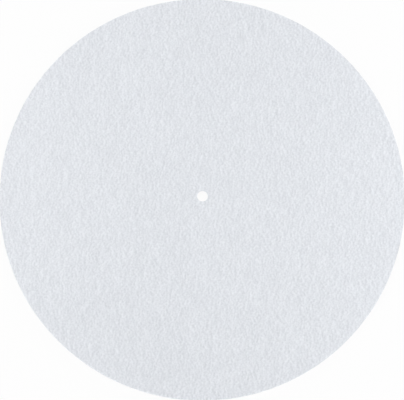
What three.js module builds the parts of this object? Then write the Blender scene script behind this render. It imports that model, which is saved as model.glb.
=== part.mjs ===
// Turntable platter mat: a round mat of pressed felt, die-cut in one piece.
//
// It lies loose on a record player's platter, and the record lies on it. The spindle
// passes through the small hole at its centre, which is what keeps it centred.
// Millimetres, +Z up. The origin is on the underside, at the centre of the spindle hole.

import * as THREE from "three";

// The mat.
const matDiameter = 295;
const matThickness = 3;

// The spindle hole is the spindle's own diameter and the play that a loose mat needs.
const spindleDiameter = 7.2;
const spindlePlay = 0.8;
const spindleHoleDiameter = spindleDiameter + spindlePlay;

// The die presses the felt down as it cuts, so the edges on its side come out softer.
const topEdgeRadius = 0.5;
const undersideEdgeRadius = 0.3;
const holeTopEdgeRadius = 0.4;
const holeUndersideEdgeRadius = 0.25;

// How finely the round stretches are divided.
const turnSegments = 180;
const edgeSegments = 3;

/**
 * Points along a quarter circle of the section, in the plane of radius and height.
 * The arc is centred on (radius, height) and turns a quarter anticlockwise from startAngle.
 */
function quarterArc(radius, height, edgeRadius, startAngle) {
  const points = [];
  for (let step = 0; step <= edgeSegments; step += 1) {
    const angle = startAngle + (Math.PI / 2) * (step / edgeSegments);
    points.push(
      new THREE.Vector2(radius + edgeRadius * Math.cos(angle), height + edgeRadius * Math.sin(angle)),
    );
  }
  return points;
}

/**
 * The mat's closed section: a long flat rectangle from the hole's wall to the rim, with an
 * arc at each corner. It runs anticlockwise from the foot of the rim and closes on itself.
 */
function matSection() {
  const rim = matDiameter / 2;
  const holeWall = spindleHoleDiameter / 2;
  const section = [
    ...quarterArc(
      rim - undersideEdgeRadius,
      undersideEdgeRadius,
      undersideEdgeRadius,
      -Math.PI / 2,
    ),
    ...quarterArc(rim - topEdgeRadius, matThickness - topEdgeRadius, topEdgeRadius, 0),
    ...quarterArc(
      holeWall + holeTopEdgeRadius,
      matThickness - holeTopEdgeRadius,
      holeTopEdgeRadius,
      Math.PI / 2,
    ),
    ...quarterArc(
      holeWall + holeUndersideEdgeRadius,
      holeUndersideEdgeRadius,
      holeUndersideEdgeRadius,
      Math.PI,
    ),
  ];
  section.push(section[0].clone());
  return section;
}

/** The section turned once round the spindle's axis, with that axis laid along +Z. */
function feltMatGeometry() {
  const geometry = new THREE.LatheGeometry(matSection(), turnSegments);
  geometry.rotateX(Math.PI / 2);
  return geometry;
}

const whiteFelt = new THREE.MeshStandardMaterial({
  name: "white_felt",
  color: new THREE.Color().setRGB(0.76, 0.782, 0.82),
  roughness: 0.95,
  metalness: 0,
});

const feltMat = new THREE.Mesh(feltMatGeometry(), whiteFelt);
feltMat.name = "felt_mat";

const platterMat = new THREE.Group();
platterMat.name = "turntable_platter_mat";
platterMat.add(feltMat);

export default platterMat;
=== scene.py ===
# %% [markdown]
# # A white felt platter mat
#
# A platter mat is the soft disc that lies between a record player's platter and the record.
# This one is a single piece: loose fibres are carded, wetted and pressed into felt, and a round
# die cuts the disc and its spindle hole. Nothing is sewn, bound or printed, so the whole lesson
# is about one surface. From a step away it is a plain white disc. Close up it is a low relief
# of tufts that lie along the grain, a fibrous cut edge and thousands of stray hairs.
#
# The CAD model holds the true size. This script dresses it, in metres, in the CAD model's own
# frame: +Z up, with the origin on the underside at the centre of the spindle hole.

# %% Tools and the fixed frame
import math

import bpy
import numpy as np
from mathutils import Matrix, Vector


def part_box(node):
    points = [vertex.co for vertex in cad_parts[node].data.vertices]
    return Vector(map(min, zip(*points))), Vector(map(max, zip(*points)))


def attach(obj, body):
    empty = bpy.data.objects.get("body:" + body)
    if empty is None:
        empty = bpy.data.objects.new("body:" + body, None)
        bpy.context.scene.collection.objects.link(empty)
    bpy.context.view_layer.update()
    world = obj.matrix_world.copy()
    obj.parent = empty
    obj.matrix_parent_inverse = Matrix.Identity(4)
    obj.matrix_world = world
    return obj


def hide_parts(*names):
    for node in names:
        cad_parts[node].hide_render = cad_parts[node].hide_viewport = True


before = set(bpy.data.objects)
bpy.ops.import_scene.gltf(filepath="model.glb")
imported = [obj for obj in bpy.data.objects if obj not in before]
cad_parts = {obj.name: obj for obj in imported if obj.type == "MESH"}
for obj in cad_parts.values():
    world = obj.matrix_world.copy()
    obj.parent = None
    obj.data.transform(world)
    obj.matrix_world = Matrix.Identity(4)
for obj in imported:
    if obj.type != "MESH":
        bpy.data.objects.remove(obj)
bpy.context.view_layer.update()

MM = 0.001

# %% [markdown]
# ## Sizes that come from the CAD model
#
# The felt is drawn round the CAD disc, so its radius, its thickness and the hole's radius are
# read from that disc and never typed again. The hole's radius is the distance from the axis to
# the nearest vertex, because the hole is round about the axis.

# %% Read the disc's sizes
FELT_NODE = "felt_mat"


def vertex_array(mesh):
    """Every vertex of a mesh as one row of x, y and z."""
    flat = np.empty(len(mesh.vertices) * 3)
    mesh.vertices.foreach_get("co", flat)
    return flat.reshape(-1, 3)


lowest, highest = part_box(FELT_NODE)
cad_vertices = vertex_array(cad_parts[FELT_NODE].data)
RADIUS = (highest.x - lowest.x) / 2
THICKNESS = highest.z - lowest.z
HOLE_RADIUS = float(np.hypot(cad_vertices[:, 0], cad_vertices[:, 1]).min())
print(f"disc {2 * RADIUS / MM:.1f} mm, hole {2 * HOLE_RADIUS / MM:.2f} mm, felt {THICKNESS / MM:.1f} mm")

# %% [markdown]
# ## The camera
#
# The photograph looks almost straight down. The disc's outline is an ellipse that is one part
# in a hundred wider than it is tall, and the hole sits a few pixels above the ellipse's centre.
# Both come from a camera that leans a little from the vertical, at a finite distance: the lean
# squeezes the ellipse, and perspective makes the near half of the disc larger than the far
# half. Solving for the two gives the elevation and the distance below.
#
# The camera was also held a few degrees askew. A round disc can't show that by its outline, but
# the felt does: its grain leans in the photograph, the light's pattern is turned by the same
# angle, and the hole sits a little to one side. A long lens frames the disc so closely that the
# picture's edge cuts a hair off each side of it.

# %% Camera
CAMERA_ELEVATION = math.radians(82.01)
CAMERA_ROLL = math.radians(5.31)
CAMERA_DISTANCE = 1.0797
CAMERA_LENS_MM = 132.25
CAMERA_SENSOR_MM = 36.0
CAMERA_AIM = Vector((-0.1225 * MM, -2.998 * MM, THICKNESS))


def make_camera():
    """A camera that looks at CAMERA_AIM from the -Y side, turned about its own line of sight."""
    data = bpy.data.cameras.new("camera")
    data.lens = CAMERA_LENS_MM
    data.sensor_width = CAMERA_SENSOR_MM
    camera = bpy.data.objects.new("camera", data)
    towards = Vector((0, -math.cos(CAMERA_ELEVATION), math.sin(CAMERA_ELEVATION)))
    camera.location = CAMERA_AIM + CAMERA_DISTANCE * towards
    pitch = Matrix.Rotation(math.pi / 2 - CAMERA_ELEVATION, 3, "X")
    roll = Matrix.Rotation(CAMERA_ROLL, 3, "Z")
    camera.rotation_euler = (pitch @ roll).to_euler()
    bpy.context.scene.collection.objects.link(camera)
    bpy.context.scene.camera = camera
    return camera


camera = make_camera()
print("camera stands at", [round(value, 4) for value in camera.location])

# %% [markdown]
# ## What the camera sees behind the felt
#
# The ground in the photograph is plain white, with hardly a shadow. A white floor that was lit
# to full white would throw too much light back at the felt, so the floor has two faces. Light
# that bounces meets pale paint with a faint glow, which reaches under the cut edge and up the
# hole. The camera, a reflection or a view through glass meets paint with a strong glow: the glow
# supplies most of the white, and the paint keeps the shadow. Farther from the disc, where no
# shadow falls, that paint fades into plain glow, so that no horizon shows from the side.
#
# The light level is how much brighter than its written colour a flat sheet of white paint would
# look. It is a little above one, because the tufts of felt shade each other.

# %% Floor
LIGHT_LEVEL = 1.124
OPEN_WHITE = 0.995
FLOOR_PAINT = 0.05
FLOOR_GLOW = OPEN_WHITE - FLOOR_PAINT * LIGHT_LEVEL
BOUNCE_PAINT = 0.60
BOUNCE_GLOW = 0.30
FLOOR_SIDE = 12.0
SHADOW_ZONE = (0.25, 0.60)


def add_seen_directly(nodes, links):
    """One where a ray comes from the camera, a reflection or glass, and zero elsewhere."""
    path = nodes.new("ShaderNodeLightPath")
    direct = nodes.new("ShaderNodeMath")
    direct.operation = "MAXIMUM"
    links.new(path.outputs["Is Camera Ray"], direct.inputs[0])
    links.new(path.outputs["Is Glossy Ray"], direct.inputs[1])
    either = nodes.new("ShaderNodeMath")
    either.operation = "MAXIMUM"
    links.new(direct.outputs["Value"], either.inputs[0])
    links.new(path.outputs["Is Transmission Ray"], either.inputs[1])
    return either.outputs["Value"]


def glowing_paint(nodes, links, paint, glow):
    """White paint that reflects one share of the light and adds a glow of its own."""
    reflects = nodes.new("ShaderNodeBsdfDiffuse")
    reflects.inputs["Color"].default_value = (paint, paint, paint, 1)
    glows = nodes.new("ShaderNodeEmission")
    glows.inputs["Color"].default_value = (1, 1, 1, 1)
    glows.inputs["Strength"].default_value = glow
    both = nodes.new("ShaderNodeAddShader")
    links.new(reflects.outputs["BSDF"], both.inputs[0])
    links.new(glows.outputs["Emission"], both.inputs[1])
    return both.outputs["Shader"]


def add_far_share(nodes, links):
    """Zero on the floor round the disc, rising in an S to one beyond the shadow's reach."""
    place = nodes.new("ShaderNodeTexCoord")
    distance = nodes.new("ShaderNodeVectorMath")
    distance.operation = "LENGTH"
    links.new(place.outputs["Object"], distance.inputs[0])
    far = nodes.new("ShaderNodeMapRange")
    far.interpolation_type = "SMOOTHSTEP"
    links.new(distance.outputs["Value"], far.inputs["Value"])
    far.inputs["From Min"].default_value, far.inputs["From Max"].default_value = SHADOW_ZONE
    return far.outputs["Result"]


def floor_material():
    """One glowing paint for bouncing light, and another for what is seen directly."""
    material = bpy.data.materials.new("studio_floor")
    material.use_nodes = True
    nodes = material.node_tree.nodes
    links = material.node_tree.links
    nodes.clear()
    seen = nodes.new("ShaderNodeMixShader")
    links.new(add_far_share(nodes, links), seen.inputs["Fac"])
    links.new(glowing_paint(nodes, links, FLOOR_PAINT, FLOOR_GLOW), seen.inputs[1])
    links.new(glowing_paint(nodes, links, 0, OPEN_WHITE), seen.inputs[2])
    either = nodes.new("ShaderNodeMixShader")
    links.new(add_seen_directly(nodes, links), either.inputs["Fac"])
    links.new(glowing_paint(nodes, links, BOUNCE_PAINT, BOUNCE_GLOW), either.inputs[1])
    links.new(seen.outputs["Shader"], either.inputs[2])
    output = nodes.new("ShaderNodeOutputMaterial")
    links.new(either.outputs["Shader"], output.inputs["Surface"])
    return material


def make_floor():
    """A level square under the disc, at the height of its underside."""
    half = FLOOR_SIDE / 2
    corners = [(-half, -half, 0), (half, -half, 0), (half, half, 0), (-half, half, 0)]
    mesh = bpy.data.meshes.new("floor")
    mesh.from_pydata(corners, [], [(0, 1, 2, 3)])
    mesh.materials.append(floor_material())
    floor = bpy.data.objects.new("floor", mesh)
    bpy.context.scene.collection.objects.link(floor)


make_floor()
print(f"floor {FLOOR_SIDE:.0f} m square, glow {FLOOR_GLOW:.2f}")

# %% [markdown]
# ## Light
#
# This is a copying stand's light. Two soft square lamps stand one on each side, so the disc is a
# little brighter towards its left and right edges, as it is in the photograph. The right one
# stands lower, so that a tuft's two flanks differ in brightness. Two low cards, one in front and
# one behind, light the cut edge there as brightly as the lamps do at the sides. A white sky
# fills the rest.
#
# The lamps are set by the share of the light that each gives to the middle of the disc. All
# shares add up to one, and the light level multiplies them all.

# %% Lamps and sky
SKY_SHARE = 0.172
LAMP_SIDE = 0.60
KEY_PLACE = Vector((0.701, 0.033, 0.373))
KEY_SHARE = 0.282
FILL_PLACE = Vector((-0.590, 0.034, 0.531))
FILL_SHARE = 0.318
CARD_DISTANCE = 1.467
CARD_HEIGHT = 0.312
CARD_SHARE = 0.114


def lamp_power(place, share):
    """Watts of a square lamp that gives a level surface at the origin this share of light.

    A lamp of P watts that faces the origin from a distance r lights it with P / (pi r^2), times
    the sine of the lamp's height angle. White paint under an irradiance of pi has a brightness
    of one, so P is pi squared, times the share, times r squared, over that sine. The light level
    multiplies it.
    """
    distance = place.length
    return LIGHT_LEVEL * math.pi**2 * share * distance**2 / (place.z / distance)


def make_lamp(name, place, share):
    """A square area lamp at a place, turned to face the middle of the disc."""
    data = bpy.data.lights.new(name, "AREA")
    data.shape = "SQUARE"
    data.size = LAMP_SIDE
    data.energy = lamp_power(place, share)
    lamp = bpy.data.objects.new(name, data)
    lamp.location = place
    lamp.rotation_euler = (-place).to_track_quat("-Z", "Y").to_euler()
    bpy.context.scene.collection.objects.link(lamp)
    return lamp


def make_sky(share):
    """A sky of one even white: one strength lights the disc, and the camera sees another."""
    world = bpy.data.worlds.new("studio_sky")
    world.use_nodes = True
    nodes = world.node_tree.nodes
    links = world.node_tree.links
    background = nodes["Background"]
    background.inputs["Color"].default_value = (1, 1, 1, 1)
    seen = add_seen_directly(nodes, links)
    strength = nodes.new("ShaderNodeMix")
    strength.inputs["A"].default_value = LIGHT_LEVEL * share
    strength.inputs["B"].default_value = OPEN_WHITE
    links.new(seen, strength.inputs["Factor"])
    links.new(strength.outputs["Result"], background.inputs["Strength"])
    bpy.context.scene.world = world


make_sky(SKY_SHARE)
key_lamp = make_lamp("key_lamp", KEY_PLACE, KEY_SHARE)
fill_lamp = make_lamp("fill_lamp", FILL_PLACE, FILL_SHARE)
for name, side in (("front_card", -1), ("back_card", 1)):
    make_lamp(name, Vector((0, side * CARD_DISTANCE, CARD_HEIGHT)), CARD_SHARE)
print(f"key {key_lamp.data.energy:.1f} W, fill {fill_lamp.data.energy:.1f} W, sky {SKY_SHARE}")

# %% [markdown]
# ## The felt's relief
#
# The relief isn't painted by hand: it is made as felt is. Thousands of short curved fibres are
# laid on a square table, most of them near the grain's direction, which itself wanders a little
# from place to place. Where many cross, the felt is thick, and where few do, it is thin. The
# table's edges join, so that the same table can be wrapped round the rim without a seam.
#
# The heap of fibres is dropped into a raster with one call of bincount, and blurred as a
# product in Fourier space, which is quick and keeps the edges joined.

# %% A table of laid fibres
TABLE_CELLS = 1200
TABLE_SIDE = 300 * MM
TABLE_CELL = TABLE_SIDE / TABLE_CELLS
GRAIN_WANDER = math.radians(7)
GRAIN_WANDER_LENGTH = 45 * MM
FIBRE_SPREAD = math.radians(40)
FIBRE_COUNT = 52000
FIBRE_STEPS = 24
FIBRE_LENGTH = 4.0 * MM
FIBRE_LENGTH_SPAN = (0.5, 1.5)
FIBRE_CURL = math.radians(35)
TUFT_BLUR = 0.55 * MM
SLAB_BLUR = 5.0 * MM
TABLE_SEED = 31


def blurred(table, width):
    """The table smoothed by a Gaussian of this width, as a product in Fourier space."""
    turns = np.fft.fftfreq(TABLE_CELLS, d=TABLE_CELL)
    falloff = np.exp(-2 * (math.pi * width * turns) ** 2)
    return np.fft.ifft2(np.fft.fft2(table) * falloff[:, None] * falloff[None, :]).real


def even_noise(rng, width):
    """Smooth random hills of this width, with a mean of zero and a spread of one."""
    hills = blurred(rng.standard_normal((TABLE_CELLS, TABLE_CELLS)), width)
    return (hills - hills.mean()) / hills.std()


def table_value(table, x, y):
    """The table's value at x, y, blended from the four cells around it. The table repeats."""
    column = (x / TABLE_CELL) % TABLE_CELLS
    row = (y / TABLE_CELL) % TABLE_CELLS
    left = np.floor(column).astype(int)
    low = np.floor(row).astype(int)
    across = column - left
    up = row - low
    left %= TABLE_CELLS
    low %= TABLE_CELLS
    right = (left + 1) % TABLE_CELLS
    high = (low + 1) % TABLE_CELLS
    lower = table[low, left] * (1 - across) + table[low, right] * across
    upper = table[high, left] * (1 - across) + table[high, right] * across
    return lower * (1 - up) + upper * up


def laid_fibres(rng, grain):
    """Heights of a heap of fibres, each an arc, counted in the raster's cells.

    A fibre starts at a random place, points along the grain there plus a random spread, and
    turns evenly as it goes. Its points are the running sums of its small steps.
    """
    start = rng.uniform(0, TABLE_SIDE, (2, FIBRE_COUNT, 1))
    heading = table_value(grain, start[0], start[1])
    heading = heading + rng.normal(0, FIBRE_SPREAD, (FIBRE_COUNT, 1))
    curl = rng.normal(0, FIBRE_CURL, (FIBRE_COUNT, 1))
    length = FIBRE_LENGTH * rng.uniform(*FIBRE_LENGTH_SPAN, (FIBRE_COUNT, 1))
    along = np.linspace(-0.5, 0.5, FIBRE_STEPS)
    angle = heading + curl * along
    step = length / FIBRE_STEPS
    x = start[0] + np.cumsum(step * np.cos(angle), axis=1)
    y = start[1] + np.cumsum(step * np.sin(angle), axis=1)
    column = np.floor(x / TABLE_CELL).astype(int) % TABLE_CELLS
    row = np.floor(y / TABLE_CELL).astype(int) % TABLE_CELLS
    heap = np.bincount((row * TABLE_CELLS + column).ravel(), minlength=TABLE_CELLS**2)
    return heap.reshape(TABLE_CELLS, TABLE_CELLS).astype(float)


def felt_table(rng):
    """The relief of one felt face, with a spread of one, and its grain's direction.

    It is the heap blurred to the width of a tuft, less the heap blurred to that of a slab.
    """
    grain = math.pi / 2 + GRAIN_WANDER * even_noise(rng, GRAIN_WANDER_LENGTH)
    heap = laid_fibres(rng, grain)
    relief = blurred(heap, TUFT_BLUR) - blurred(heap, SLAB_BLUR)
    return relief / relief.std(), grain


table_rng = np.random.default_rng(TABLE_SEED)
top_table, top_grain = felt_table(table_rng)
under_table, under_grain = felt_table(table_rng)
slope_across = np.diff(top_table, axis=1).std() / TABLE_CELL
slope_along = np.diff(top_table, axis=0).std() / TABLE_CELL
print(f"tufts are {slope_across / slope_along:.2f} times steeper across the grain than along it")

# %% [markdown]
# ## A disc without a pinched middle
#
# The obvious grid for a disc, rings and spokes, has needles at the centre and wide cells at the
# rim. Here a square grid is wrapped round the disc instead: each square ring of the grid
# becomes a circle, and its points are spread evenly round it. Ring n has 8 n points, so the
# cells stay about the same size everywhere, which a relief with one grain size needs. Leaving
# out the innermost rings makes the spindle hole.

# %% Square rings wrapped round a circle
CORE_RINGS = 5


def wrapped_grid(rings, inner_radius, outer_radius):
    """Points and faces of a square grid of 2 x rings cells a side, wrapped round a ring.

    Grid point (i, j) lies on square ring n, the larger of |i| and |j|. Its radius grows evenly
    with n. Its angle is an eighth of a turn times its place along its side of the square, j / i
    or i / j, from the middle of that side.
    """
    line = np.arange(-rings, rings + 1)
    i, j = np.meshgrid(line, line, indexing="ij")
    ring = np.maximum(abs(i), abs(j))
    on_x_side = abs(i) >= abs(j)
    major = np.where(on_x_side, i, j)
    minor = np.where(on_x_side, j, -i)
    turn = (math.pi / 4) * minor / np.where(major == 0, 1, major)
    angle = turn + np.where(on_x_side, 0, math.pi / 2) + np.where(major < 0, math.pi, 0)
    span = outer_radius - inner_radius
    radius = inner_radius + span * (ring - CORE_RINGS) / (rings - CORE_RINGS)
    used = ring >= CORE_RINGS
    number = np.full(ring.shape, -1)
    number[used] = np.arange(used.sum())
    x = radius[used] * np.cos(angle[used])
    y = radius[used] * np.sin(angle[used])
    corners = [number[:-1, :-1], number[1:, :-1], number[1:, 1:], number[:-1, 1:]]
    quads = np.stack(corners, axis=-1).reshape(-1, 4)
    quads = quads[(quads >= 0).all(axis=1)]
    return np.stack([x, y], axis=1), quads, ring[used], angle[used] % (2 * math.pi)


def ring_loop(ring, angle, wanted):
    """Numbers of the points on one ring, in order of angle."""
    chosen = np.flatnonzero(ring == wanted)
    return chosen[np.argsort(angle[chosen])]


# %% [markdown]
# ## The felt body
#
# The top face is the fine grid, about a millimetre to a cell, so that its tufts are real relief
# and not only a bump. The underside, which lies on the platter, has cells twice as wide. The
# rim and the hole's wall are profiles carried round the outermost and innermost loops: an arc
# where the die pressed the felt down, the cut face, and a tighter arc below.
#
# A cut edge isn't a machined one. Its wall bulges and recedes by a tenth of a millimetre or so,
# in low flat layers, because the fibres lie level in the felt. The hole's wall is cleaner,
# because the small punch holds the felt all round it.

# %% Top, underside, rim and hole in one closed mesh
TOP_RINGS = 128
UNDER_RINGS = 64
TOP_RELIEF = 0.090 * MM
UNDER_RELIEF = 0.035 * MM
UNDER_CLEARANCE = 0.10 * MM
RIM_RELIEF = 0.060 * MM
HOLE_RELIEF = 0.015 * MM
TOP_ARC_RADIUS = 0.28 * MM
UNDER_ARC_RADIUS = 0.30 * MM
HOLE_ARC_RADIUS = 0.22 * MM
HOLE_UNDER_ARC_RADIUS = 0.25 * MM
ARC_STEPS = 3
WALL_STEPS = 3
FLAT_STRIP = 0.25 * MM
WRAPS_OF_TABLE = 3
WALL_LAYERING = 4.0


def edge_profile(top_radius, under_radius):
    """Rows of a cut edge from the top face down: how far out, how high, how much wall.

    Out is measured from the wall's own radius, so it is negative over the two arcs. The share of
    wall goes from none on the flat faces to one on the cut face, as a quarter turn's sine.
    """
    turn = np.linspace(0, math.pi / 2, ARC_STEPS + 1)
    wall_share = np.sin(turn)
    out = wall_share - 1
    drop = 1 - np.cos(turn)
    upper = np.stack([top_radius * out, THICKNESS - top_radius * drop, wall_share], axis=1)
    lower = np.stack([under_radius * out, under_radius * drop, wall_share], axis=1)[::-1]
    share = np.linspace(0, 1, WALL_STEPS + 2)[1:-1, None]
    wall = upper[-1] + share * (lower[0] - upper[-1])
    return np.concatenate([upper, wall, lower])


print("rows of the rim:", len(edge_profile(TOP_ARC_RADIUS, UNDER_ARC_RADIUS)))


# %% Heights of the two faces
def top_height(x, y):
    """The top face: the felt's thickness plus its relief."""
    return THICKNESS + TOP_RELIEF * table_value(top_table, x, y)


def under_height(x, y):
    """The underside: a hair clear of the platter, with a flatter relief, and never below it."""
    return np.maximum(UNDER_CLEARANCE + UNDER_RELIEF * table_value(under_table, x, y), 0)


def wall_bulge(angle, height):
    """How far a cut face of unit relief stands out, from the table, which goes three times round.

    The place along the table is squeezed in height, so that the bulges come in flat layers.
    """
    around = angle / (2 * math.pi) * WRAPS_OF_TABLE * TABLE_SIDE
    return table_value(under_table, height * WALL_LAYERING, around)


def carried_edge(angles, wall_radius, outwards, profile, relief):
    """A cut edge's points, one row of the profile after another, round a whole loop.

    Each point stands at the wall's radius plus its profile's distance out, and the relief of
    the faces fades into the bulge of the wall as the profile turns from level to upright. The
    relief given here is the wall's, in metres.
    """
    out, height, wall = (profile[:, k][:, None] for k in range(3))
    angle = angles[None, :]
    radius = wall_radius + outwards * (out + wall * relief * wall_bulge(angle, height))
    x = radius * np.cos(angle)
    y = radius * np.sin(angle)
    above = height > THICKNESS / 2
    face = np.where(above, top_height(x, y) - THICKNESS, under_height(x, y))
    z = height + (1 - wall) * face
    return np.stack(np.broadcast_arrays(x, y, z), axis=-1).reshape(-1, 3)


# %% Joining loops
def quads_between(loops):
    """Quads between each loop of point numbers and the next, all loops with equally many points."""
    first = loops[:-1]
    second = loops[1:]
    return np.stack(
        [first, second, np.roll(second, -1, axis=1), np.roll(first, -1, axis=1)], axis=-1
    ).reshape(-1, 4)


def halving_faces(fine, coarse):
    """Triangles between a loop of points and a coarser one that has every second point."""
    even = fine[0::2]
    odd = fine[1::2]
    following = np.roll(even, -1)
    coarse_next = np.roll(coarse, -1)
    return np.concatenate(
        [
            np.stack([even, coarse, odd], axis=1),
            np.stack([odd, coarse, coarse_next], axis=1),
            np.stack([odd, coarse_next, following], axis=1),
        ]
    )


strip = halving_faces(np.arange(8), np.arange(4))
print("a halving strip of 8 to 4 points has", len(strip), "triangles")


# %% [markdown]
# ## A flat map of the felt
#
# A game or a viewer can't run Blender's nodes, so it gets pictures of the material instead, and
# a picture needs a flat map of the surface. The two faces are discs already, so their own x and
# y serve as the map, with a large disc for the top and a smaller one for the underside. The
# rim and the hole's wall are long thin bands, so each is cut into quarter turns and stacked.

# %% Map places
BAKE_MAP = "OFBake"
TOP_ISLAND_RADIUS = 0.345
UNDER_ISLAND_RADIUS = 0.210
ISLAND_MARGIN = 0.003
STRIP_PITCH = 0.009
STRIP_FILL = 0.75
RIM_STRIPS_FOOT = 0.002
HOLE_STRIPS_FOOT = 0.040
DISCS_FOOT = 0.078


def disc_island(points, centre, radius):
    """A flat picture of the disc in the map: each point's own x and y, shrunk to a circle there."""
    return np.asarray(centre) + points[:, :2] * (radius / RADIUS)


def strip_island(rows, columns, foot):
    """Corner places of a band's quads in the map: four quarter turns, one strip above another.

    Column c of a loop of points lies c / columns of a turn round. Four times that turn runs four
    times across the map, and each crossing is a strip of its own.
    """
    row, column = np.meshgrid(np.arange(rows), np.arange(columns), indexing="ij")
    strip = np.floor(4 * column / columns)
    left = 4 * column / columns - strip
    right = left + 4 / columns
    tall = STRIP_FILL * STRIP_PITCH / rows
    near = foot + STRIP_PITCH * strip + tall * row
    far = near + tall
    corners = [(left, near), (left, far), (right, far), (right, near)]
    return np.stack([np.stack(corner, axis=-1) for corner in corners], axis=2).reshape(-1, 4, 2)


discs_share = math.pi * (TOP_ISLAND_RADIUS**2 + UNDER_ISLAND_RADIUS**2)
print(f"the two discs take {discs_share:.2f} of the map")


# %% A mesh from arrays
def mesh_object(name, points, faces, corner_uv):
    """A smooth-shaded object at the origin, with a place in the map for each face's corner."""
    mesh = bpy.data.meshes.new(name)
    mesh.from_pydata(points, [], faces)
    mesh.shade_smooth()
    uv_map = mesh.uv_layers.new(name=BAKE_MAP)
    uv_map.data.foreach_set("uv", np.ascontiguousarray(corner_uv, dtype=np.float32).ravel())
    made = bpy.data.objects.new(name, mesh)
    bpy.context.scene.collection.objects.link(made)
    return made


def point_attribute(mesh, name, values):
    """Stores one number a point on the mesh, where a material can read it."""
    attribute = mesh.attributes.new(name=name, type="FLOAT", domain="POINT")
    attribute.data.foreach_set("value", np.ascontiguousarray(values, dtype=np.float32))


# %% Build the felt body
def face_grid(rings, arc_radius, hole_arc_radius, height):
    """One face of the disc with its innermost and outermost loops.

    It stops a narrow flat strip short of both arcs, so that only the strip, and not a whole
    cell of the grid, is shaded on its way from level to round.
    """
    flat, quads, ring, angle = wrapped_grid(
        rings, HOLE_RADIUS + hole_arc_radius + FLAT_STRIP, RADIUS - arc_radius - FLAT_STRIP
    )
    points = np.column_stack([flat, height(flat[:, 0], flat[:, 1])])
    return points, quads, ring_loop(ring, angle, CORE_RINGS), ring_loop(ring, angle, rings)


def loop_angles(count):
    """Angles of a loop of points spread evenly round a whole turn."""
    return np.arange(count) * (2 * math.pi / count)


def build_felt():
    """The whole felt disc as one closed mesh: top, underside, rim and hole wall."""
    top, top_quads, top_inner, top_outer = face_grid(
        TOP_RINGS, TOP_ARC_RADIUS, HOLE_ARC_RADIUS, top_height
    )
    under, under_quads, under_inner, under_outer = face_grid(
        UNDER_RINGS, UNDER_ARC_RADIUS, HOLE_UNDER_ARC_RADIUS, under_height
    )
    rim_profile = edge_profile(TOP_ARC_RADIUS, UNDER_ARC_RADIUS)
    hole_profile = edge_profile(HOLE_ARC_RADIUS, HOLE_UNDER_ARC_RADIUS)
    rim_angles = loop_angles(len(top_outer))
    hole_angles = loop_angles(len(top_inner))
    rim = carried_edge(rim_angles, RADIUS, 1, rim_profile, RIM_RELIEF)
    hole = carried_edge(hole_angles, HOLE_RADIUS, -1, hole_profile, HOLE_RELIEF)
    points = np.concatenate([top, under, rim, hole])
    rim_first = len(top) + len(under)
    hole_first = rim_first + len(rim)
    rim_loops = np.arange(rim_first, hole_first).reshape(len(rim_profile), -1)
    hole_loops = np.arange(hole_first, len(points)).reshape(len(hole_profile), -1)
    under_inner = under_inner + len(top)
    under_outer = under_outer + len(top)
    under_quads = under_quads[:, ::-1] + len(top)

    rim_quads = quads_between(np.vstack([top_outer, rim_loops]))
    foot_triangles = halving_faces(rim_loops[-1], under_outer)
    hole_quads = quads_between(np.vstack([top_inner, hole_loops, under_inner]))[:, ::-1]

    top_centre = (TOP_ISLAND_RADIUS + ISLAND_MARGIN, 1 - TOP_ISLAND_RADIUS - ISLAND_MARGIN)
    under_centre = (1 - UNDER_ISLAND_RADIUS - ISLAND_MARGIN, DISCS_FOOT + UNDER_ISLAND_RADIUS)
    top_uv = disc_island(points, top_centre, TOP_ISLAND_RADIUS)
    under_uv = disc_island(points, under_centre, UNDER_ISLAND_RADIUS)
    rim_uv = strip_island(len(rim_profile), len(top_outer), RIM_STRIPS_FOOT)
    hole_uv = strip_island(len(hole_profile) + 1, len(top_inner), HOLE_STRIPS_FOOT)[:, ::-1]
    corner_uv = [
        top_uv[top_quads.ravel()],
        under_uv[under_quads.ravel()],
        rim_uv.reshape(-1, 2),
        hole_uv.reshape(-1, 2),
        under_uv[foot_triangles.ravel()],
    ]
    quads = np.concatenate([top_quads, under_quads, rim_quads, hole_quads])
    faces = quads.tolist() + foot_triangles.tolist()
    felt = mesh_object("felt_disc", points, faces, np.concatenate(corner_uv))
    # The top's relief height, kept on the points for painted shade in the valleys and painted light on
    # the crests.
    on_top = points[:, 2] > THICKNESS / 2
    relief = np.where(on_top, table_value(top_table, points[:, 0], points[:, 1]), 0)
    point_attribute(felt.data, "painted_relief_shade", relief)
    return felt


felt = build_felt()
felt_triangles = sum(len(polygon.vertices) - 2 for polygon in felt.data.polygons)
print(f"felt_disc has {len(felt.data.vertices)} points and {felt_triangles} triangles")
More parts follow.
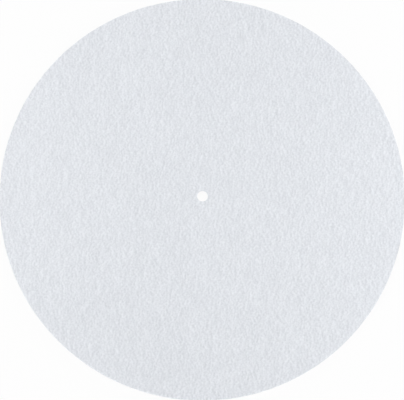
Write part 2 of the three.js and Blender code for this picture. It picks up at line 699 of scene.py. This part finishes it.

# %% [markdown]
# ## The felt's finish, with painted light and shade
#
# White felt is all one dye, so its pattern is light and shade: tufts that catch the light, the
# gaps between them, and single fibres that cross at all angles. The mesh carries the broader
# tufts, and a bump the finer ones. A bump so fine is nearly lost in a small picture, so the
# tufts' light and shade is also painted into the colour. Each tuft gets a painted highlight on
# its right flank, which faces the low key lamp, and painted shade on its left one. That painted
# light is the tufts' noise read a little to the left, less the same noise read a little to the
# right. The relief's height is also painted in faintly, as painted shade in its valleys and
# painted light on its crests.
#
# The rest of the pattern is colour alone, in three sizes: specks, streaks and broad clouds.
# Stretching a noise's coordinates along the grain turns its round blobs into streaks, and
# pushing them sideways by a broad slow noise first makes the streaks wander.
#
# All patterns read Object coordinates, so they stay on the felt, on its cut edge too. Upright
# they are squeezed, which gives the cut edge its fine level layers.

# %% Felt values
FELT_WHITE = (0.834, 0.857, 0.896)
FELT_SHADE = (0.684, 0.707, 0.746)
PER_MM = 1000.0
NOISE_MIDDLE = 0.5
FIBRE_MIDDLE = 0.8
WANDER_SIZE_MM = (28.0, 28.0, 28.0)
WANDER_REACH_MM = (3.0, 1.0, 0.0)
TUFT_SIZE_MM = (1.50, 2.20, 0.90)
# Painted light and shade on the tufts' flanks: how far to each side the noise is read.
PAINTED_FLANK_REACH_MM = 0.50
STREAK_SIZE_MM = (2.20, 9.00, 0.90)
SPECK_SIZE_MM = (1.10, 1.10, 0.70)
FIBRE_SIZE_MM = (0.34, 4.00, 0.30)
FIBRE_ANGLES = [math.radians(angle) for angle in (-52, -14, 21, 63)]
FIBRE_SHARPNESS = 4.0
CLOUD_SIZE_MM = (26.0, 52.0, 26.0)
# Strength of the painted highlight and the painted shade on the tufts' flanks.
PAINTED_FLANK_CONTRAST = 0.84
STREAK_CONTRAST = 0.42
SPECK_CONTRAST = 1.06
FIBRE_CONTRAST = 0.06
CLOUD_CONTRAST = 0.18
# Strength of the painted shade in the relief's valleys and the painted light on its crests.
PAINTED_RELIEF_SHADE_CONTRAST = 0.008
TUFT_BUMP = 0.28 * MM
FIBRE_BUMP = 0.04 * MM
FELT_ROUGHNESS = (0.86, 0.98)
FELT_SHEEN = 0.08
FELT_SHEEN_ROUGHNESS = 0.45
FELT_SPECULAR = 0.15


# %% Small builders for node trees
class Tree:
    """A material's node tree, with one short call for each kind of node."""

    def __init__(self, name):
        self.material = bpy.data.materials.new(name)
        self.material.use_nodes = True
        self.nodes = self.material.node_tree.nodes
        self.links = self.material.node_tree.links
        self.shader = self.nodes["Principled BSDF"]

    def put(self, socket, value):
        """Links an output to a socket, or sets the socket's own value."""
        if isinstance(value, bpy.types.NodeSocket):
            self.links.new(value, socket)
        else:
            socket.default_value = value

    def object_mm(self):
        """Object coordinates, counted in millimetres."""
        place = self.nodes.new("ShaderNodeTexCoord")
        return self.mapped(place.outputs["Object"], scale=(PER_MM, PER_MM, PER_MM))

    def mapped(self, vector, scale=(1, 1, 1), turn=0.0, aside=0.0):
        """A vector with its axes scaled, then turned about Z, then moved along X."""
        node = self.nodes.new("ShaderNodeMapping")
        self.put(node.inputs["Vector"], vector)
        node.inputs["Scale"].default_value = scale
        node.inputs["Rotation"].default_value = (0, 0, turn)
        node.inputs["Location"].default_value = (aside, 0, 0)
        return node.outputs["Vector"]

    def sized(self, vector, hill, aside=0.0):
        """A vector in millimetres, moved aside and counted in hills of this size."""
        per_hill = tuple(1 / side for side in hill)
        return self.mapped(vector, scale=per_hill, aside=aside / hill[0])

    def noise(self, vector, detail, wanted="Fac"):
        """Smooth noise with one hill to a unit, as a number from zero to one or as three."""
        node = self.nodes.new("ShaderNodeTexNoise")
        self.put(node.inputs["Vector"], vector)
        node.inputs["Scale"].default_value = 1.0
        node.inputs["Detail"].default_value = detail
        return node.outputs[wanted]

    def maths(self, operation, first, second=0.0, third=0.0):
        """One step of arithmetic on numbers."""
        node = self.nodes.new("ShaderNodeMath")
        node.operation = operation
        for socket, value in zip(node.inputs, (first, second, third)):
            self.put(socket, value)
        return node.outputs["Value"]

    def shift(self, vector, reach, by):
        """A vector moved by a three-number noise, centred on zero, times a reach on each axis."""
        centred = self.nodes.new("ShaderNodeVectorMath")
        centred.operation = "SUBTRACT"
        self.put(centred.inputs[0], by)
        centred.inputs[1].default_value = (NOISE_MIDDLE, NOISE_MIDDLE, NOISE_MIDDLE)
        moved = self.nodes.new("ShaderNodeVectorMath")
        moved.operation = "MULTIPLY_ADD"
        self.put(moved.inputs[0], centred.outputs["Vector"])
        moved.inputs[1].default_value = reach
        self.put(moved.inputs[2], vector)
        return moved.outputs["Vector"]

    def between(self, share, low, high):
        """A colour mixed from low to high by a share."""
        node = self.nodes.new("ShaderNodeMix")
        node.data_type = "RGBA"
        self.put(node.inputs["Factor"], share)
        node.inputs["A"].default_value = (*low, 1)
        node.inputs["B"].default_value = (*high, 1)
        return node.outputs["Result"]

    def attribute(self, name):
        """A number stored on the mesh."""
        node = self.nodes.new("ShaderNodeAttribute")
        node.attribute_name = name
        return node.outputs["Fac"]

    def bump(self, height, distance, under=None):
        """A bump of this height in metres, laid over an earlier bump if one is given."""
        node = self.nodes.new("ShaderNodeBump")
        node.inputs["Distance"].default_value = distance
        self.put(node.inputs["Height"], height)
        if under is not None:
            self.put(node.inputs["Normal"], under)
        return node.outputs["Normal"]


# %% The felt's patterns
def along_grain(tree, place):
    """Places pushed sideways by a broad slow noise, so that a straight streak wanders."""
    slow = tree.noise(tree.sized(place, WANDER_SIZE_MM), detail=1.0, wanted="Color")
    return tree.shift(place, WANDER_REACH_MM, slow)


def fibre_pattern(tree, place):
    """Thin bright lines that cross: the highest of four narrow noises, each turned its own way.

    A line runs where a noise passes through its middle value, so a fibre is one minus four times
    the distance from a half, never below zero.
    """
    highest_line = 0.0
    for turn in FIBRE_ANGLES:
        turned = tree.mapped(place, turn=turn)
        hills = tree.noise(tree.sized(turned, FIBRE_SIZE_MM), detail=1.0)
        off_middle = tree.maths("ABSOLUTE", tree.maths("SUBTRACT", hills, NOISE_MIDDLE))
        line = tree.maths("MULTIPLY_ADD", off_middle, -FIBRE_SHARPNESS, 1.0)
        line = tree.maths("MAXIMUM", line, 0.0)
        highest_line = tree.maths("MAXIMUM", line, highest_line)
    return highest_line


def painted_flank_light(tree, place):
    """Each tuft's pale right flank and shaded left one, from minus one to one.

    It is painted light and shade, with the highlight on the side that faces the key lamp: the
    tufts' noise read a little to the left, less the same noise read to the right.
    """
    left = tree.noise(tree.sized(place, TUFT_SIZE_MM, aside=-PAINTED_FLANK_REACH_MM), detail=0.0)
    right = tree.noise(tree.sized(place, TUFT_SIZE_MM, aside=PAINTED_FLANK_REACH_MM), detail=0.0)
    return tree.maths("SUBTRACT", left, right)


def felt_material():
    """White felt: patterns in colour, with tufts and fibres in the bump, over the mesh's relief.

    The share of white is a half, plus each pattern's distance from its middle times a contrast.
    Two of the patterns are painted light and shade: the tufts' flanks and the relief's height.
    """
    tree = Tree("white_felt")
    place = along_grain(tree, tree.object_mm())
    tufts = tree.noise(tree.sized(place, TUFT_SIZE_MM), detail=1.0)
    streaks = tree.noise(tree.sized(place, STREAK_SIZE_MM), detail=0.0)
    specks = tree.noise(tree.sized(place, SPECK_SIZE_MM), detail=0.0)
    clouds = tree.noise(tree.sized(place, CLOUD_SIZE_MM), detail=2.0)
    fibres = fibre_pattern(tree, place)

    share = 0.5
    patterns = [
        # Painted light and shade: a pale right flank and a dark left flank on each tuft.
        (painted_flank_light(tree, place), 0.0, PAINTED_FLANK_CONTRAST),
        (streaks, NOISE_MIDDLE, STREAK_CONTRAST),
        (specks, NOISE_MIDDLE, SPECK_CONTRAST),
        (fibres, FIBRE_MIDDLE, FIBRE_CONTRAST),
        (clouds, NOISE_MIDDLE, CLOUD_CONTRAST),
        # Painted shade in the relief's valleys and painted light on its crests.
        (tree.attribute("painted_relief_shade"), 0.0, PAINTED_RELIEF_SHADE_CONTRAST),
    ]
    for pattern, middle, contrast in patterns:
        distance = tree.maths("SUBTRACT", pattern, middle)
        share = tree.maths("MULTIPLY_ADD", distance, contrast, share)
    share = tree.maths("MINIMUM", tree.maths("MAXIMUM", share, 0.0), 1.0)
    tree.put(tree.shader.inputs["Base Color"], tree.between(share, FELT_SHADE, FELT_WHITE))

    span = FELT_ROUGHNESS[1] - FELT_ROUGHNESS[0]
    roughness = tree.maths("MULTIPLY_ADD", fibres, -span, FELT_ROUGHNESS[1])
    tree.put(tree.shader.inputs["Roughness"], roughness)

    tuft_normal = tree.bump(tufts, TUFT_BUMP)
    tree.put(tree.shader.inputs["Normal"], tree.bump(fibres, FIBRE_BUMP, under=tuft_normal))
    tree.shader.inputs["Sheen Weight"].default_value = FELT_SHEEN
    tree.shader.inputs["Sheen Roughness"].default_value = FELT_SHEEN_ROUGHNESS
    tree.shader.inputs["Specular IOR Level"].default_value = FELT_SPECULAR
    return tree.material


felt.data.materials.append(felt_material())
print("white_felt has", len(felt.data.materials[0].node_tree.nodes), "nodes")

# %% [markdown]
# ## Loose hairs
#
# Felt is never shaved quite clean: hairs lie over it in shallow arcs, and short ones stand out
# of the cut edge. Each hair is real mesh, a thin closed tube with pointed ends, because from
# the side it is the fuzzy outline, and not the pattern, that says felt. A tube of three sides
# is enough at this size, so a hair has two dozen faces or fewer.
#
# Both ends dip below the felt, so that no hair floats.

# %% Thin closed tubes
TUBE_SIDES = 3
TUBE_FULLNESS = 0.35
SHORTEST_SIDE = 1e-6
CELL_MARGIN = 0.1


def tube_rings(paths, radii):
    """Rings of points round each path: the path's point plus a circle square to its direction.

    The circle is spanned by a level side vector and its cross product with the direction. Its
    radius follows a power of half a sine wave along the path. The first and the last point of a
    path stay single, as the tube's pointed ends.
    """
    direction = np.gradient(paths, axis=1)[:, 1:-1]
    direction /= np.linalg.norm(direction, axis=-1, keepdims=True)
    side = np.cross(direction, (0.0, 0.0, 1.0))
    side /= np.maximum(np.linalg.norm(side, axis=-1, keepdims=True), SHORTEST_SIDE)
    upwards = np.cross(side, direction)
    turn = np.arange(TUBE_SIDES) * (2 * math.pi / TUBE_SIDES)
    circle = side[:, :, None] * np.cos(turn)[:, None]
    circle = circle + upwards[:, :, None] * np.sin(turn)[:, None]
    swell = np.sin(np.linspace(0, math.pi, paths.shape[1])[1:-1]) ** TUBE_FULLNESS
    thick = radii[:, None, None, None] * swell[:, None, None]
    rings = paths[:, 1:-1, None] + thick * circle
    return np.concatenate([paths[:, :1], rings.reshape(len(paths), -1, 3), paths[:, -1:]], axis=1)


def tube_faces(inner_steps):
    """Triangles and quads of one tube, by the numbers of its own points."""
    last = 1 + inner_steps * TUBE_SIDES
    near = np.arange(TUBE_SIDES)
    far = (near + 1) % TUBE_SIDES
    start = [(0, 1 + b, 1 + a) for a, b in zip(near, far)]
    foot = 1 + (inner_steps - 1) * TUBE_SIDES
    end = [(last, foot + a, foot + b) for a, b in zip(near, far)]
    rings = 1 + TUBE_SIDES * np.arange(inner_steps - 1)
    walls = [
        (ring + a, ring + b, ring + TUBE_SIDES + b, ring + TUBE_SIDES + a)
        for ring in rings
        for a, b in zip(near, far)
    ]
    return np.array(start + end), np.array(walls)


def hair_object(name, paths, radii, tones):
    """All the tubes of one group as one mesh, each with its own tone and its own cell of the map."""
    points = tube_rings(paths, radii)
    count, each = points.shape[:2]
    triangles, quads = tube_faces(paths.shape[1] - 2)
    offset = (np.arange(count) * each)[:, None, None]
    all_triangles = (triangles + offset).reshape(-1, 3)
    all_quads = (quads + offset).reshape(-1, 4)

    side = math.ceil(math.sqrt(count))
    cell = np.stack([np.arange(count) % side, np.arange(count) // side], axis=1) / side
    steps = paths.shape[1]
    ring_steps = np.repeat(np.arange(1, steps - 1), TUBE_SIDES)
    along = np.concatenate([[0], ring_steps, [steps - 1]]) / (steps - 1)
    ring_sides = np.tile(np.arange(TUBE_SIDES) / (TUBE_SIDES - 1), steps - 2)
    around = np.concatenate([[0.5], ring_sides, [0.5]])
    within = CELL_MARGIN + (1 - 2 * CELL_MARGIN) * np.stack([around, along], axis=1)
    within /= side
    point_uv = (cell[:, None, :] + within[None, :, :]).reshape(-1, 2)
    corner_uv = np.concatenate([point_uv[all_quads.ravel()], point_uv[all_triangles.ravel()]])

    faces = all_quads.tolist() + all_triangles.tolist()
    hairs = mesh_object(name, points.reshape(-1, 3), faces, corner_uv)
    point_attribute(hairs.data, "tone", np.repeat(tones, each))
    print(f"{name}: {count} hairs, {count * (len(triangles) + 2 * len(quads))} triangles")
    return hairs


# %% Hairs that lie over the faces
HAIR_RADIUS = 0.022 * MM
HAIR_STEPS = 6
HAIR_LENGTH = 5.0 * MM
HAIR_LENGTH_SPAN = (0.35, 1.5)
HAIR_RADIUS_SPAN = (0.67, 1.33)
HAIR_SPREAD = math.radians(38)
HAIR_BEND = math.radians(60)
HAIR_DIP = 0.05 * MM
HAIR_LIFT = 0.05 * MM
HAIR_LIFT_LIMIT = 0.40 * MM
HAIR_ARCH_FULLNESS = 0.6
HAIR_EDGE_KEEP = 1.2 * MM


def lying_paths(rng, count, grain, height, upwards):
    """Arcs over a face: their ends dip into the felt, and their middles rise from it.

    Points are spread evenly over the ring by taking the radius as the root of an even draw.
    The rise is an exponential draw, because most hairs lie flat and few stand off.
    """
    inner = HOLE_RADIUS + HAIR_EDGE_KEEP
    outer = RADIUS - HAIR_EDGE_KEEP
    radius = np.sqrt(rng.uniform(inner**2, outer**2, (count, 1)))
    angle = rng.uniform(0, 2 * math.pi, (count, 1))
    middle_x = radius * np.cos(angle)
    middle_y = radius * np.sin(angle)
    heading = table_value(grain, middle_x, middle_y) + rng.normal(0, HAIR_SPREAD, (count, 1))
    bend = rng.normal(0, HAIR_BEND, (count, 1))
    length = HAIR_LENGTH * rng.uniform(*HAIR_LENGTH_SPAN, (count, 1))
    along = np.linspace(-0.5, 0.5, HAIR_STEPS)
    x_run = np.cumsum(np.cos(heading + bend * along) * length / (HAIR_STEPS - 1), axis=1)
    y_run = np.cumsum(np.sin(heading + bend * along) * length / (HAIR_STEPS - 1), axis=1)
    x = middle_x + x_run - x_run.mean(axis=1, keepdims=True)
    y = middle_y + y_run - y_run.mean(axis=1, keepdims=True)
    reach = np.hypot(x, y)
    kept_in = np.clip(reach, inner, outer) / reach
    x *= kept_in
    y *= kept_in
    rise = np.minimum(rng.exponential(HAIR_LIFT, (count, 1)), HAIR_LIFT_LIMIT) + HAIR_RADIUS
    arch = np.sin(math.pi * (along + 0.5)) ** HAIR_ARCH_FULLNESS
    z = height(x, y) + upwards * (rise * arch - HAIR_DIP * (1 - arch))
    return np.stack([x, y, z], axis=-1)


def hair_radii(rng, count):
    """Hair radii, from two thirds of the usual one to one and a third."""
    return HAIR_RADIUS * rng.uniform(*HAIR_RADIUS_SPAN, count)


HAIR_SEED = 57
TOP_HAIR_GROUPS = 2
TOP_HAIRS = 3500

hair_rng = np.random.default_rng(HAIR_SEED)
hair_pieces = []
for group in range(TOP_HAIR_GROUPS):
    paths = lying_paths(hair_rng, TOP_HAIRS, top_grain, top_height, 1)
    tones = hair_rng.uniform(0, 1, TOP_HAIRS)
    radii = hair_radii(hair_rng, TOP_HAIRS)
    hair_pieces.append(hair_object(f"top_hairs_{group + 1}", paths, radii, tones))

# %% Hairs under the mat
UNDER_HAIRS = 3600
PLATTER_CLEARANCE = 0.02 * MM


def under_paths(rng, count):
    """Arcs under the mat, pressed flat, so that none reaches below the platter."""
    paths = lying_paths(rng, count, under_grain, under_height, -1)
    paths[:, :, 2] = np.maximum(paths[:, :, 2], PLATTER_CLEARANCE + HAIR_RADIUS)
    return paths


hair_pieces.append(
    hair_object(
        "under_hairs",
        under_paths(hair_rng, UNDER_HAIRS),
        hair_radii(hair_rng, UNDER_HAIRS),
        hair_rng.uniform(0, 1, UNDER_HAIRS),
    )
)

# %% Hairs of the cut edges
RIM_HAIRS = 6500
HOLE_HAIRS = 40
RIM_REACH = 0.11 * MM
HOLE_REACH = 0.02 * MM
EDGE_HAIR_LENGTH = 1.5 * MM
EDGE_LENGTH_SPAN = (0.4, 1.4)
EDGE_REACH_LIMITS = (0.2, 3.0)
LOOP_SHARE = 0.5
EDGE_HAIR_TILT = math.radians(22)
EDGE_HAIR_ROOT = 0.15 * MM
EDGE_HAIR_STEPS = 5
EDGE_HEIGHT_KEEP = 0.25 * MM


def edge_paths(rng, count, wall_radius, outwards, usual_reach):
    """Short hairs of a cut edge: some are loops, and the others have one end free.

    A hair runs along the wall by its length and stands out from it by a sine: half a wave for a
    loop, a quarter wave for a free end.
    """
    angle = rng.uniform(0, 2 * math.pi, (count, 1))
    foot = rng.uniform(EDGE_HEIGHT_KEEP, THICKNESS - EDGE_HEIGHT_KEEP, (count, 1))
    tilt = rng.normal(0, EDGE_HAIR_TILT, (count, 1))
    length = EDGE_HAIR_LENGTH * rng.uniform(*EDGE_LENGTH_SPAN, (count, 1))
    length *= rng.choice((-1.0, 1.0), (count, 1))
    shortest, longest = (limit * usual_reach for limit in EDGE_REACH_LIMITS)
    reach = rng.exponential(usual_reach, (count, 1)).clip(shortest, longest)
    half_waves = np.where(rng.uniform(0, 1, (count, 1)) < LOOP_SHARE, 1.0, 0.5)
    along = np.linspace(0, 1, EDGE_HAIR_STEPS)
    out = (reach + EDGE_HAIR_ROOT) * np.sin(math.pi * half_waves * along) - EDGE_HAIR_ROOT
    turned = angle + length * np.cos(tilt) * along / wall_radius
    z = foot + abs(length) * np.sin(tilt) * along
    z = np.clip(z, HAIR_RADIUS + PLATTER_CLEARANCE, THICKNESS)
    radius = wall_radius + outwards * out
    return np.stack([radius * np.cos(turned), radius * np.sin(turned), z], axis=-1)


edge_hairs = np.concatenate(
    [
        edge_paths(hair_rng, RIM_HAIRS, RADIUS, 1, RIM_REACH),
        edge_paths(hair_rng, HOLE_HAIRS, HOLE_RADIUS, -1, HOLE_REACH),
    ]
)
hair_pieces.append(
    hair_object(
        "edge_hairs",
        edge_hairs,
        hair_radii(hair_rng, len(edge_hairs)),
        hair_rng.uniform(0, 1, len(edge_hairs)),
    )
)

# %% [markdown]
# ## The hairs' finish
#
# A hair is the felt's own fibre, so it has the felt's white. Each one has its own tone, stored
# on its points, because no two hairs catch the light alike. A noise along it varies it further.

# %% Hair material
HAIR_WHITE = (0.83, 0.85, 0.885)
HAIR_SHADE = (0.73, 0.75, 0.79)
HAIR_PATTERN_MM = 0.6
HAIR_ROUGHNESS = 0.70
HAIR_TONE_SHARE = 0.8


def hair_material():
    """Loose fibre: the felt's white, with a tone of its own to each hair."""
    tree = Tree("loose_fibre")
    fine = 1 / HAIR_PATTERN_MM
    streak = tree.noise(tree.mapped(tree.object_mm(), scale=(fine, fine, fine)), detail=1.0)
    tone = tree.maths("MULTIPLY", tree.attribute("tone"), HAIR_TONE_SHARE)
    share = tree.maths("MULTIPLY_ADD", streak, 1 - HAIR_TONE_SHARE, tone)
    tree.put(tree.shader.inputs["Base Color"], tree.between(share, HAIR_SHADE, HAIR_WHITE))
    tree.shader.inputs["Roughness"].default_value = HAIR_ROUGHNESS
    tree.shader.inputs["Sheen Weight"].default_value = FELT_SHEEN
    tree.shader.inputs["Specular IOR Level"].default_value = FELT_SPECULAR
    return tree.material


loose_fibre = hair_material()
for piece in hair_pieces:
    piece.data.materials.append(loose_fibre)
print("hair pieces:", [piece.name for piece in hair_pieces])

# %% [markdown]
# ## Tie every piece to the frame
#
# The felt disc stands for the CAD disc and rides on the one body there is. The hairs go with it.

# %% Rides and replacements
BODY = "root"

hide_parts(FELT_NODE)
for piece in [felt, *hair_pieces]:
    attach(piece, BODY)

# %% [markdown]
# ## Colour management
#
# The Standard view shows a colour as it is written.

# %% Finish
bpy.context.scene.view_settings.view_transform = "Standard"
